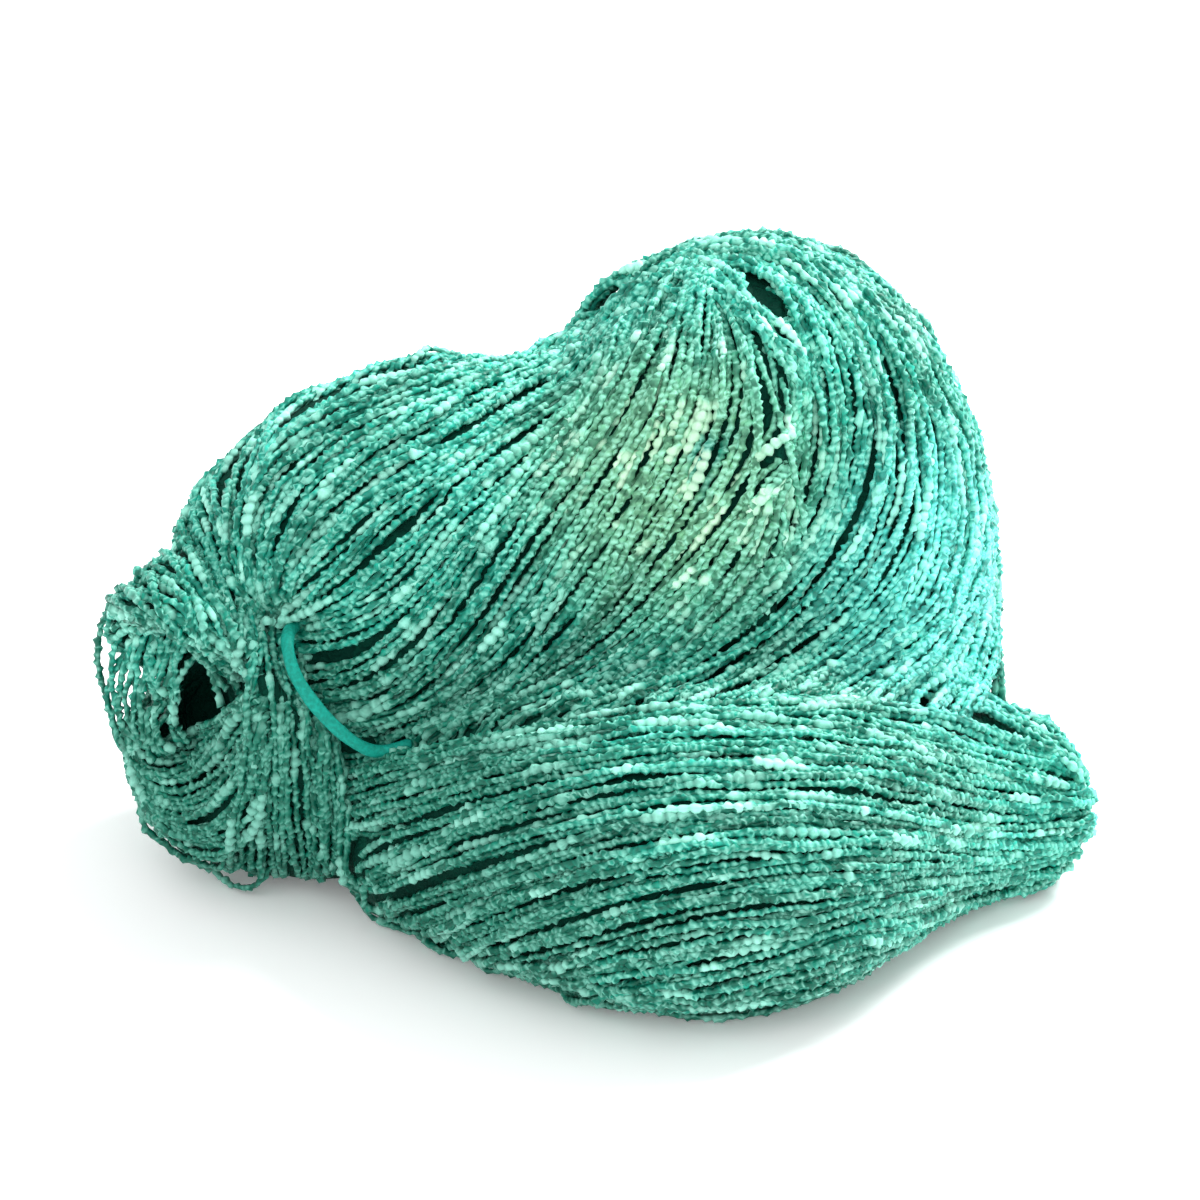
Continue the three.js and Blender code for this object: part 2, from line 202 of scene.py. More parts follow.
def smooth_route(route, samples):
    points = np.asarray(route, float)
    points = np.vstack((2 * points[0] - points[1], points, 2 * points[-1] - points[-2]))
    knots = np.concatenate(([0], np.cumsum(np.linalg.norm(np.diff(points, axis=0), axis=1) ** 0.5)))
    places = np.linspace(knots[1], knots[-2], samples)
    which = np.clip(np.searchsorted(knots, places, side="right") - 1, 1, len(points) - 3)
    t0, t1, t2, t3 = (knots[which + step][:, None] for step in (-1, 0, 1, 2))
    p0, p1, p2, p3 = (points[which + step] for step in (-1, 0, 1, 2))
    at = places[:, None]
    a1 = (t1 - at) / (t1 - t0) * p0 + (at - t0) / (t1 - t0) * p1
    a2 = (t2 - at) / (t2 - t1) * p1 + (at - t1) / (t2 - t1) * p2
    a3 = (t3 - at) / (t3 - t2) * p2 + (at - t2) / (t3 - t2) * p3
    b1 = (t2 - at) / (t2 - t0) * a1 + (at - t0) / (t2 - t0) * a2
    b2 = (t3 - at) / (t3 - t1) * a2 + (at - t1) / (t3 - t1) * a3
    return (t2 - at) / (t2 - t1) * b1 + (at - t1) / (t2 - t1) * b2


def on_skin(at, angle, height):
    cosine, sine = np.cos(angle), np.sin(angle)
    power = 2 / at["square"]
    side = np.sign(cosine) * np.abs(cosine) ** power
    up = np.sign(sine) * np.abs(sine) ** power
    half = np.maximum(at["half"] + height, 0.5)
    rise = np.maximum(at["rise"] + height, 0.5)
    lean = at["lean"]
    point = (at["middle"] + at["across"] * (side * half + up * lean)[..., None]
             + at["out"] * (up * rise)[..., None])
    facing = (at["across"] * (np.sign(cosine) * np.abs(side) ** (at["square"] - 1) / half)[..., None]
              + at["out"] * (np.sign(sine) * np.abs(up) ** (at["square"] - 1) / rise)[..., None])
    return point, unit(facing)


print("Tables read:", sum(len(run["rows"]) for run in (upper_run, lower_run, arch_run, loop_run)), "rows")

# %% [markdown]
# The skin to lie on.
# The strands must follow the solid model, dive under one another where two bundles meet, and never
# hang in the air. A tree of the solid's faces answers for any point how far outside the skin it is.
# The solid's own loose strands are left out of it, or strands would climb over them.
# A Shrinkwrap modifier could press strands on, but it can't tell which parts are buried.

# %% Distance to the solid's skin
hank_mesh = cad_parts["hank"].data
skin_points = np.array([vertex.co for vertex in hank_mesh.vertices]) * 1000 - to_model
loose_middles = np.concatenate([smooth_route(route, 120) for route in solid_loose_strands])
bare = np.array([np.min(np.sum((loose_middles - point) ** 2, axis=1)) > loose_reach ** 2
                 for point in skin_points])
skin_faces = [tuple(face.vertices) for face in hank_mesh.polygons if bare[list(face.vertices)].any()]
skin_tree = BVHTree.FromPolygons([Vector(point) for point in skin_points], skin_faces)


def to_skin(points):
    flat = points.reshape(-1, 3)
    distance = np.empty(len(flat))
    nearest = np.empty((len(flat), 3))
    facing = np.empty((len(flat), 3))
    for index, point in enumerate(flat):
        place, normal, _, apart = skin_tree.find_nearest(Vector(point))
        outside = (Vector(point) - place).dot(normal) >= 0
        distance[index] = apart if outside else -apart
        nearest[index] = place
        facing[index] = normal
    shape = points.shape
    return distance.reshape(shape[:-1]), nearest.reshape(shape), facing.reshape(shape)


print("Skin faces", len(skin_faces), "of", len(hank_mesh.polygons))

# %% [markdown]
# Sight lines.
# The camera looks down at the hank from the front. Some strands are easiest to place where they are
# seen, so their guides are given as millimetres to the right and up on the picture, with the middle of
# the picture as zero. A sight line from the camera through such a place finds the skin that it meets.

# %% From the picture to the skin
picture_middle = np.array([0.0, 0.0, 80.0])
look_down = math.radians(25)
camera_distance = 1150.0
tried_reaches = range(1080, 1260, 12)     # where a sight line that misses the hank looks for its skin
toward_camera = np.array([0.0, -math.cos(look_down), math.sin(look_down)])
picture_up = np.array([0.0, math.sin(look_down), math.cos(look_down)])
picture_right = np.array([1.0, 0.0, 0.0])


def sighted(places):
    eye = picture_middle + toward_camera * camera_distance
    flat = places.reshape(-1, 2)
    points = np.empty((len(flat), 3))
    for index, (right, up) in enumerate(flat):
        sight = unit(picture_middle + picture_right * right + picture_up * up - eye)
        place = skin_tree.ray_cast(Vector(eye), Vector(sight))[0]
        if place is None:
            tries = (skin_tree.find_nearest(Vector(eye + sight * reach)) for reach in tried_reaches)
            place = min(tries, key=lambda found: found[3])[0]
        points[index] = place
    return points.reshape(places.shape[:-1] + (3,))


def placed(places):
    eye = picture_middle + toward_camera * camera_distance
    sight = picture_middle + places[..., :1] * picture_right + places[..., 1:2] * picture_up - eye
    return eye + sight * ((places[..., 2:] - eye[1]) / sight[..., 1:2])


print("One millimetre up on the picture, seen at the front:", placed(np.array([[0.0, 1.0, -60.0]])).round(2))

# %% [markdown]
# The under-layer.
# Between the strands of a real hank one sees more yarn, deeper and in shadow. Filling the whole inside
# with strands would take millions of faces, so a dark shell a little under the skin stands for it. It
# is a merged copy of the solid. No point is moved in by more than a set share of what the solid is thick
# there, about two fifths, so that thin places don't turn inside out.

# %% Make the under-layer
under_depth = 2.6                         # millimetres from the skin to the under-layer
most_inward = 0.42                        # and no more than this share of the thickness


def add_object(name, data):
    made = bpy.data.objects.new(name, data)
    bpy.context.scene.collection.objects.link(made)
    return made


def inward_copy(source, name, depth):
    shell = bmesh.new()
    shell.from_mesh(source)
    bmesh.ops.remove_doubles(shell, verts=shell.verts, dist=2e-6)
    shell.normal_update()
    tree = BVHTree.FromBMesh(shell)
    moves = []
    for vertex in shell.verts:
        start = vertex.co - vertex.normal * 1e-5
        hit = tree.ray_cast(start, -vertex.normal)
        thick = hit[3] if hit[3] is not None else depth
        moves.append(vertex.normal * -min(depth, thick * most_inward))
    for vertex, move in zip(shell.verts, moves):
        vertex.co += move
    bmesh.ops.smooth_vert(shell, verts=shell.verts, factor=0.3, use_axis_x=True, use_axis_y=True,
                          use_axis_z=True)
    made = bpy.data.meshes.new(name)
    shell.to_mesh(made)
    shell.free()
    made.shade_smooth()
    return add_object(name, made)


under_layer = inward_copy(hank_mesh, "under_layer", under_depth / 1000)
print("Under-layer faces", len(under_layer.data.polygons))

# %% [markdown]
# Settling strands.
# A family of strands is a set of paths that lie side by side. Where they crowd together, as at a
# waist, a real hank piles them up and some go under. Here such a strand leaves the top and dives.
# It also dives where another bundle covers it. Each stretch that stays on top becomes one strand.

# %% Settle a family of strands on the skin
strands = {}


def waves(lengths, scale, phase, count=3):
    total = np.zeros(np.broadcast(lengths, phase).shape)
    for step in range(count):
        wave_length = scale * (1 + 0.63 * step)
        total = total + np.sin(2 * math.pi * lengths / wave_length + phase * (1 + step) + step)
    return total / count


def scattered_rank(count):
    ranks = np.zeros(count)
    for index in range(count):
        share, value, number = 0.5, 0.0, index
        while number:
            value += share * (number & 1)
            number >>= 1
            share /= 2
        ranks[index] = value
    return ranks


def draw_in(points, middle):
    away = np.linalg.norm(points - waist["middle"], axis=-1)
    pull = waist["depth"] * np.exp(-(away / waist["reach"]) ** 2)
    return points + unit(middle - points) * pull[..., None]


def settle(group, paths, facing, lift=0.0, closed=False, crowd=0.68, bury=3.6, snap=2.4, shortest=9.0,
           hidden=None, end_sink=3.2):
    count, samples = paths.shape[:2]
    after = np.roll(paths, -1, 0)
    before = np.roll(paths, 1, 0)
    spacing = np.linalg.norm(after - before, axis=-1) / 2
    if not closed and count > 2:
        spacing[0], spacing[-1] = spacing[1], spacing[-2]
    room = scattered_rank(count)[:, None] < spacing / (strand_pitch * crowd)
    distance, nearest, normal = to_skin(paths)
    wanted = lift - crest_radius
    far = distance > wanted + snap
    paths = np.where(far[..., None], nearest + normal * (wanted + snap), paths)
    shown = room & (distance > -bury - lift) & (distance < farthest_out) & (paths[..., 2] > lowest_place)
    if hidden is not None:
        shown &= ~hidden
    made = 0
    for index in range(count):
        edges = np.flatnonzero(np.diff(np.concatenate(([0], shown[index].astype(int), [0]))))
        for start, stop in zip(edges[::2], edges[1::2]):
            start, stop = max(start - 2, 0), min(stop + 2, samples)
            path = paths[index, start:stop].copy()
            if len(path) < 4:
                continue
            smooth = path.copy()
            smooth[1:-1] = (path[:-2] + 2 * path[1:-1] + path[2:]) / 4
            outward = unit(facing[index, start:stop] * 0.5 + normal[index, start:stop] * 0.5)
            length = np.linalg.norm(np.diff(smooth, axis=0), axis=1).sum()
            if length < shortest:
                continue
            sink = np.zeros(len(smooth))
            sink[:3] = (1.0, 0.55, 0.2)
            sink[-3:] = (0.2, 0.55, 1.0)
            sink *= end_sink + lift
            smooth -= outward * sink[:, None]
            smooth[:, 2] = np.maximum(smooth[:, 2], floor_rest)
            strands.setdefault(group, []).append((smooth, outward, False))
            made += length
    return made


def lay_on_run(group, run, start, stop, pitch=strand_pitch, lift=0.0, drawn=False, share=1.0,
               drift=0.0, roughness=1.3, phase=0.0):
    widest = max(2 * math.pi * math.sqrt((row[3] ** 2 + row[4] ** 2) / 2) for row in run["rows"])
    count = int(widest / pitch)
    coarse = np.linspace(start, stop, 400)
    at = sections(run, coarse)
    ring = np.linalg.norm(np.diff(on_skin(at, np.radians(at["turn"] + 60), 0)[0], axis=0), axis=1)
    travelled = np.concatenate(([0], np.cumsum(ring)))
    samples = max(int(travelled[-1] / sample_step), 8)
    lengths = np.linspace(0, travelled[-1], samples)
    along = np.interp(lengths, travelled, coarse)
    at = {name: value[None] for name, value in sections(run, along).items()}
    index = np.arange(count)[:, None]
    base = 2 * math.pi * (index + chance.uniform(-0.25, 0.25, (count, 1))) / count
    radius = (at["half"] + at["rise"]) / 2
    own = chance.uniform(0, 2 * math.pi, (count, 1))
    sway = (1.5 * waves(lengths[None], 46, index * 0.3 + phase) + 1.5 * waves(lengths[None], 17, own)
            + 0.7 * np.sin(index * 1.7 + 2.2 * waves(lengths[None], 70, index * 0.05)))
    slant = drift * chance.uniform(-1, 1, (count, 1)) * (lengths[None] - lengths.mean())
    angle = base + np.radians(at["turn"]) + (sway + slant) / radius
    height = (lift - crest_radius + roughness * waves(lengths[None], 27, own * 2)
              + 0.7 * chance.uniform(-1, 1, (count, 1)))
    points, facing = on_skin(at, angle, height)
    if drawn:
        points = draw_in(points, np.broadcast_to(at["middle"], points.shape))
    hidden = facing @ toward_camera > seen_facing
    if share < 1:
        kept = np.sort(chance.permutation(count)[: int(count * share)])
        return settle(group, points[kept], facing[kept], lift, crowd=0.001, shortest=20.0,
                      hidden=hidden[kept])
    return settle(group, points, facing, lift, closed=True, hidden=hidden)


# %% [markdown]
# What the camera doesn't see.
# At the back and underneath, the strands turn evenly round each run, by the angles in its table.
# At the top right a band of them comes up from behind and turns over the crown. The tables are enough
# there. The front, where the strands fan out, gets its own guides further down.

# %% Lay the strands at the back and underneath
back_pitch = 2.85
laid = lay_on_run("back_strands", lower_run, 0.02, 0.985, pitch=back_pitch)
laid += lay_on_run("back_strands", upper_run, 0.03, 0.985, pitch=back_pitch, drawn=True)
laid += lay_on_run("back_strands", upper_run, 0.30, 0.95, lift=1.6, share=0.12, drift=0.16, drawn=True,
                   phase=2.0)
laid += lay_on_run("back_strands", arch_run, 0.03, 0.985, pitch=back_pitch, lift=0.3)
laid += lay_on_run("back_strands", arch_run, 0.1, 0.95, lift=1.9, share=0.12, drift=0.15, phase=3.0)
laid += lay_on_run("back_strands", loop_run, 0.02, 0.985, pitch=back_pitch)
print("Back and underneath: metres of strand", round(laid / 1000, 1))

# %% [markdown]
# Combed strands.
# Where strands fan out from one point, no table fits. A few guide strands are given one by one, as one
# would comb hair with guides, and the ones between them are blended. Then each strand is laid on the
# skin. A hollow between strands is bridged, and the strand is pulled taut, which lifts it off hollows as
# a real one lifts. Last, it is carried on over the edge of what the camera sees. Blender's hair curves
# have such guides too, but they grow from roots.

# %% Comb strands between guides
def pull_taut(paths, height, widths=(7, 5, 3, 2, 1)):
    for width in widths:
        padded = np.concatenate([paths[:, :1]] * width + [paths] + [paths[:, -1:]] * width, 1)
        total = np.cumsum(np.concatenate((np.zeros_like(paths[:, :1]), padded), 1), 1)
        smooth = (total[:, 2 * width + 1:] - total[:, : -2 * width - 1]) / (2 * width + 1)
        smooth[:, 0], smooth[:, -1] = paths[:, 0], paths[:, -1]
        distance, nearest, normal = to_skin(smooth)
        low = distance < height
        smooth[low] = nearest[low] + normal[low] * height[low][:, None]
        paths = smooth
    return paths


def walk_on(paths, reach, height):
    here = paths[:, -1]
    ahead = unit(paths[:, -1] - paths[:, -4])
    walked = [paths]
    for _ in range(int(reach / sample_step)):
        _, nearest, normal = to_skin(here + ahead * sample_step)
        there = nearest + normal * height
        ahead = unit(there - here)
        walked.append(there[:, None])
        here = there
    return np.concatenate(walked, 1)


def bridge(paths, reach=5, most=6.0):
    depth = paths @ toward_camera
    padded = np.concatenate([depth[:1]] * reach + [depth] + [depth[-1:]] * reach)
    level = np.mean([padded[step: step + len(depth)] for step in range(2 * reach + 1)], axis=0)
    return paths + np.clip(level - depth, 0, most)[..., None] * toward_camera


def comb(group, guides, lift=0.0, roughness=1.5, sway=1.0, share=1.0, drift=0.13, before=9.0, beyond=20.0,
         pitch=strand_pitch):
    lines = [np.array(guide, float) for guide in guides]
    longest = max(np.linalg.norm(np.diff(line, axis=0), axis=1).sum() for line in lines) * 1.2
    samples = int(longest / sample_step)
    lines = np.stack([smooth_route(line, samples) for line in lines])
    on_hank = lines.shape[-1] == 2
    cast = sighted(lines) if on_hank else placed(lines)
    gaps = np.percentile(np.linalg.norm(np.diff(cast, axis=0), axis=2), 70, axis=1)
    place = np.concatenate([index + (np.arange(count) + 0.5) / count for index, count in
                            enumerate(np.ceil(gaps / pitch).astype(int))])
    if share < 1:
        place = np.sort(chance.permutation(place)[: int(len(place) * share)])
    count = len(place)
    place = place[:, None] + drift * chance.uniform(-1, 1, (count, 1)) * np.linspace(-1, 1, samples)[None]
    place = np.clip(place, 0, len(lines) - 1 - 1e-6)
    first = place.astype(int)
    part = (place - first)[..., None]
    row = np.arange(samples)[None]
    flat = lines[first, row] * (1 - part) + lines[first + 1, row] * part
    lengths = np.linspace(0, longest, samples)[None]
    number = np.arange(count)[:, None]
    own = chance.uniform(0, 2 * math.pi, (count, 1))
    swing = sway * (1.2 * waves(lengths, 44, number * 0.3) + 1.6 * waves(lengths, 16, own * 2)
                    + 0.7 * np.sin(number * 1.7 + 2.2 * waves(lengths, 70, number * 0.05)))
    along = unit(np.gradient(flat[..., :2], axis=1))
    flat[..., :2] += np.stack([-along[..., 1], along[..., 0]], -1) * swing[..., None]
    level = (lift - crest_radius + roughness * waves(lengths, 24, own)
             + 0.75 * chance.uniform(-1, 1, (count, 1)))
    if not on_hank:
        paths = pull_taut(placed(flat), level, widths=(1,))
        return settle(group, paths, to_skin(paths)[2], lift, snap=40.0, crowd=0.001, end_sink=0.0)
    _, nearest, normal = to_skin(sighted(flat))
    paths = pull_taut(bridge(nearest + normal * level[..., None]), level)
    paths = walk_on(paths, beyond, lift - crest_radius)
    paths = walk_on(paths[:, ::-1], before, lift - crest_radius)[:, ::-1]
    return settle(group, paths, to_skin(paths)[2], lift, snap=7.0, crowd=0.62 if share == 1 else 0.001)


# %% [markdown]
# The face of the upper run.
# All strands of the face start at the waist or out of the crease over the lower run, and climb to the
# right. On the left they flatten over the first hump. On the right each one bends over in an arc and
# leaves to the left over the crown, because the hank turns back on itself there. Half as many again lie
# across them on top, because a real hank is never combed evenly.

# %% Comb the face
fan_guides = [
    [(-95, -2), (-100, 11), (-101, 27), (-95, 43), (-84, 53), (-69, 60), (-54, 66), (-36, 68)],
    [(-93, -2), (-96, 8), (-91, 23), (-84, 34), (-73, 43), (-57, 51), (-43, 58), (-25, 64)],
    [(-90, -3), (-84, 8), (-76, 17), (-65, 27), (-50, 36), (-35, 45), (-20, 55), (-10, 62)],
    [(-87, -5), (-76, 1), (-64, 10), (-54, 22), (-43, 32), (-31, 42), (-17, 52), (-2, 64)],
    [(-84, -9), (-73, -9), (-61, -3), (-50, 8), (-38, 22), (-22, 36), (-8, 51), (3, 68)],
    [(-83, -15), (-70, -14), (-56, -4), (-43, 8), (-28, 28), (-12, 46), (0, 62), (9, 78)],
    [(-82, -24), (-68, -25), (-52, -11), (-39, 8), (-22, 29), (-7, 47), (6, 63), (15, 83)],
    [(-72, -36), (-55, -32), (-38, -17), (-24, 3), (-10, 27), (4, 45), (15, 64), (22, 87)],
    [(-56, -39), (-36, -30), (-18, -16), (0, 5), (15, 27), (27, 46), (32, 66), (31, 88)],
    [(-34, -34), (-13, -25), (6, -15), (22, -1), (38, 15), (51, 34), (56, 52), (55, 67), (49, 77), (40, 83)],
]
filling_guides = [
    [(-34, -34), (-13, -25), (6, -15), (22, -1), (38, 15), (51, 34), (56, 52), (57, 64)],
    [(-15, -32), (4, -26), (22, -15), (39, -1), (53, 14), (61, 33), (63, 50), (62, 63)],
]
arc_guides = [
    [(-15, -32), (4, -26), (22, -15), (39, -1), (53, 14), (61, 33), (63, 52), (60, 67), (54, 81),
     (47, 91), (39, 95), (30, 96), (22, 93), (14, 87), (7, 79)],
    [(4, -30), (22, -24), (41, -11), (57, 2), (70, 20), (76, 37), (76, 54), (72, 68), (66, 80), (58, 91),
     (48, 97), (36, 99), (25, 97), (16, 92), (7, 83)],
    [(28, -30), (46, -24), (63, -13), (78, 0), (86, 16), (90, 34), (89, 50), (85, 64), (78, 77), (70, 88),
     (59, 96), (47, 100), (35, 101), (24, 99), (13, 92)],
    [(53, -29), (69, -22), (84, -13), (95, 0), (100, 15), (101, 32), (98, 46), (92, 60), (85, 72),
     (77, 82), (67, 91), (56, 98), (44, 102), (32, 102)],
    [(78, -28), (90, -20), (99, -10), (106, 3), (108, 18), (107, 34), (103, 48), (97, 61), (89, 73),
     (80, 83), (70, 92), (58, 99)],
    [(92, -31), (101, -20), (106, -5), (110, 12), (111, 26), (109, 40), (104, 52), (97, 64), (89, 75),
     (80, 85)],
    [(104, -30), (109, -18), (112, -3), (113, 12), (112, 27), (110, 41), (105, 53), (98, 65), (90, 76),
     (81, 86)],
]
crease_guides = [
    [(0, -20), (16, -8), (30, 6), (39, 19), (43, 32), (44, 46), (43, 58), (41, 70), (37, 80), (30, 87)],
    [(8, -22), (25, -10), (38, 3), (46, 17), (49, 32), (50, 46), (49, 58), (47, 70), (42, 82), (34, 90),
     (25, 92)],
    [(14, -24), (34, -11), (48, 1), (55, 15), (58, 32), (59, 48), (57, 61), (53, 74), (47, 86), (38, 94),
     (28, 96)],
]
laid = comb("face_strands", fan_guides, sway=1.5, beyond=34.0)
laid += comb("face_strands", filling_guides, sway=1.5)
laid += comb("face_strands", arc_guides, sway=1.4, beyond=25.0)
laid += comb("face_strands", crease_guides, lift=1.2, sway=1.6)
for guides in (fan_guides, arc_guides):
    laid += comb("face_strands", guides, lift=1.7, share=0.5, drift=0.5, sway=1.6, before=4.0)
print("Face: metres of strand", round(laid / 1000, 1))

# %% [markdown]
# The lower run.
# It is the smaller bundle that lies on the floor in front. Its strands turn under at the left, where
# the hank is folded. From there they rise a little to the right and draw together at the far end.

# %% Comb the lower run
lower_guides = [
    [(-69, -46), (-50, -41), (-28, -36), (-6, -32), (17, -29), (45, -28), (67, -28), (90, -29),
     (106, -35), (118, -41), (129, -42), (136, -48)],
    [(-69, -53), (-50, -48), (-28, -42), (-6, -38), (17, -35), (39, -34), (62, -35), (84, -39),
     (104, -43), (120, -48), (133, -50), (139, -53)],
    [(-67, -61), (-50, -56), (-28, -49), (-6, -44), (17, -41), (39, -41), (62, -41), (84, -45),
     (104, -50), (120, -53), (133, -54), (139, -55)],
    [(-66, -69), (-48, -63), (-25, -55), (-3, -50), (20, -47), (42, -46), (64, -48), (84, -51),
     (104, -55), (120, -58), (133, -57), (139, -56)],
    [(-64, -77), (-48, -72), (-25, -63), (-3, -57), (20, -53), (42, -52), (64, -53), (84, -56),
     (104, -60), (120, -62), (132, -61), (139, -58)],
    [(-60, -84), (-45, -78), (-25, -71), (-3, -64), (20, -60), (42, -58), (64, -59), (84, -61),
     (104, -64), (120, -65), (132, -64), (138, -60)],
    [(-53, -89), (-39, -84), (-20, -76), (0, -70), (22, -66), (42, -64), (64, -64), (84, -66), (104, -68),
     (120, -68), (132, -66), (137, -63)],
    [(-45, -94), (-31, -88), (-14, -82), (6, -76), (25, -72), (45, -70), (64, -70), (84, -70), (104, -71),
     (120, -70), (131, -68), (137, -65)],
    [(-36, -98), (-22, -94), (-6, -88), (11, -83), (28, -80), (48, -77), (67, -76), (84, -74), (104, -75),
     (120, -73), (130, -70), (136, -67)],
    [(-28, -102), (-14, -99), (3, -94), (20, -90), (36, -87), (53, -85), (70, -82), (85, -80), (104, -78),
     (120, -75), (129, -72), (135, -69)],
    [(-20, -106), (-6, -104), (11, -100), (28, -97), (45, -94), (62, -90), (76, -87), (89, -83),
     (104, -81), (118, -78), (128, -75)],
    [(-11, -109), (3, -108), (20, -106), (36, -103), (50, -99), (64, -95), (78, -91), (92, -87),
     (104, -84), (117, -80), (126, -77)],
    [(0, -111), (14, -112), (28, -112), (42, -111), (55, -106), (67, -101), (80, -97), (94, -92),
     (112, -85)],
    [(8, -114), (26, -115), (42, -114), (55, -111), (67, -108), (79, -103), (92, -98), (104, -92),
     (114, -87)],
]
lower_far_guides = [
    [(80, -16), (92, -17), (103, -20), (114, -27), (124, -34), (133, -41), (139, -50)],
    [(78, -26), (92, -26), (104, -30), (115, -36), (125, -42), (133, -46), (138, -53)],
]
laid = comb("lower_run_strands", lower_guides, sway=1.3, before=18.0, beyond=12.0)
laid += comb("lower_run_strands", lower_far_guides, before=12.0, beyond=12.0)
laid += comb("lower_run_strands", lower_guides, lift=1.7, share=0.55, drift=0.5, sway=1.6, beyond=8.0)
print("Lower run: metres of strand", round(laid / 1000, 1))

# %% [markdown]
# The loop end and the curtain.
# The left end is an open loop round a dark eye. Its strands leave the waist, fan out over the top, turn
# down in a wall that one can see daylight through, and come back along the floor. Below the waist others
# hang straight down like a curtain. The wall's guides have a third value, how far behind the middle of
# the hank they are (less than zero is in front of it), because they hang free.

# %% Comb the loop end and the curtain
loop_top_guides = [
    [(-102, -21), (-108, -14), (-115, -10), (-123, -8), (-132, -9)],
    [(-102, -19), (-109, -9), (-115, 0), (-120, 7), (-126, 8)],
    [(-100, -14), (-106, -3), (-111, 8), (-115, 18), (-119, 20)],
    [(-97, -10), (-102, 1), (-105, 14), (-108, 24), (-110, 29)],
    [(-95, -6), (-99, 4), (-102, 17), (-103, 27), (-103, 36)],
    [(-92, -3), (-98, 8), (-100, 20), (-99, 32), (-95, 43)],
]
loop_floor_guides = [
    [(-102, -26), (-109, -35), (-119, -40), (-126, -43), (-132, -39), (-135, -28)],
    [(-99, -29), (-106, -41), (-118, -47), (-127, -49), (-136, -43), (-139, -29)],
    [(-97, -32), (-103, -49), (-115, -56), (-126, -57), (-134, -49), (-139, -36)],
    [(-96, -37), (-100, -56), (-111, -64), (-121, -65), (-130, -57), (-137, -42)],
    [(-93, -41), (-96, -59), (-106, -69), (-118, -68), (-128, -60), (-137, -48)],
    [(-90, -46), (-91, -63), (-99, -74), (-112, -74), (-124, -67), (-135, -53)],
]
curtain_guides = [
    [(-99, -13), (-97, -25), (-97, -39), (-99, -53), (-103, -66), (-104, -76)],
    [(-96, -8), (-96, -22), (-95, -37), (-94, -53), (-92, -69), (-92, -77)],
    [(-91, -9), (-91, -20), (-89, -34), (-88, -50), (-87, -69), (-87, -77)],
    [(-88, -14), (-86, -26), (-83, -38), (-82, -53), (-80, -69), (-80, -77)],
    [(-81, -30), (-77, -41), (-76, -55), (-74, -70), (-74, -77)],
    [(-75, -35), (-72, -44), (-70, -56), (-70, -68), (-71, -76)],
]
wall_guides = [
    [(-128, 7, -7), (-131, 0, -8), (-132, -7, -9), (-135, -15, -10), (-137, -24, -10), (-137, -31, -10),
     (-136, -39, -11), (-132, -44, -12)],
    [(-126, 3, -10), (-128, -6, -12), (-130, -15, -13), (-133, -24, -13), (-134, -31, -13),
     (-133, -37, -13), (-130, -43, -13)],
    [(-123, -1, -12), (-126, -9, -14), (-128, -18, -16), (-129, -25, -16), (-130, -32, -16),
     (-129, -39, -16), (-125, -44, -15)],
    [(-120, -3, -14), (-123, -10, -15), (-125, -19, -17), (-126, -26, -17), (-127, -32, -17),
     (-126, -39, -17), (-122, -43, -16)],
    [(-116, -4, -15), (-120, -11, -16), (-122, -20, -18), (-123, -28, -18), (-124, -35, -18),
     (-122, -40, -18), (-119, -42, -17)],
    [(-113, -7, -16), (-117, -13, -17), (-119, -20, -18), (-120, -28, -19), (-121, -34, -19),
     (-119, -39, -19), (-116, -41, -18)],
    [(-110, -10, -17), (-113, -16, -18), (-116, -21, -19), (-118, -27, -20), (-118, -32, -20),
     (-116, -37, -20), (-113, -39, -19)],
]
laid = 0
for guides, beyond in ((loop_floor_guides, 10.0), (curtain_guides, 12.0), (loop_top_guides, 40.0)):
    laid += comb("loop_strands", guides, beyond=beyond)
    laid += comb("loop_strands", guides, lift=1.7, share=0.3, drift=0.4, sway=1.5, before=2.0, beyond=beyond)
laid += comb("loop_strands", wall_guides, roughness=0.6, sway=0.8, pitch=3.3)
print("Loop and curtain: metres of strand", round(laid / 1000, 1))

# %% [markdown]
# Loose strands.
# A few strands stand clear of the bundles. Most of them are in the solid model too and follow the same
# points, so that the outline is the same. Two stray loops at the lower left are given as they are seen,
# with a third value as for the wall. Some strands cross the others on top, and near the tie there is a
# knot with two fluffy ends.

# %% Loose strands one by one
stray_loops = [
    [(-56, -73, -50), (-63, -76, -54), (-66, -81, -55), (-66, -85, -55), (-62, -87, -55), (-56, -85, -53)],
    [(-53, -80, -54), (-59, -83, -58), (-60, -87, -58), (-57, -90, -58), (-51, -88, -56)],
]
crossing_strands = [
    [(-103, 33), (-103, 28), (-103, 22), (-104, 14), (-104, 7), (-101, 1), (-98, -2), (-95, -6)],
    [(-107, 11), (-105, 6), (-103, 2), (-98, -2), (-94, -6)],
    [(-101, 0), (-101, -6), (-101, -11), (-101, -19)],
    [(-125, 7), (-124, 0), (-120, -6), (-114, -11), (-111, -15), (-108, -20), (-106, -26), (-105, -30)],
    [(-132, -8), (-126, -4), (-120, -7), (-113, -13), (-108, -19), (-103, -26)],
    [(38, 84), (43, 82), (48, 78), (53, 74), (55, 70), (57, 63), (58, 56)],
]
knot_ends = [
    [(-73, 1), (-78, -3), (-85, -5), (-91, -6), (-96, -8)],
    [(-88, 1), (-88, -2), (-89, -5), (-91, -8)],
]


def loose(group, route, fluffy=False, middle=(-60, 10, 50)):
    length = np.linalg.norm(np.diff(np.array(route, float), axis=0), axis=1).sum()
    path = smooth_route(route, max(int(length / sample_step), 8))
    path[:, 2] = np.maximum(path[:, 2], floor_rest)
    strands.setdefault(group, []).append((path, unit(path - np.array(middle, float)), fluffy))
    return length


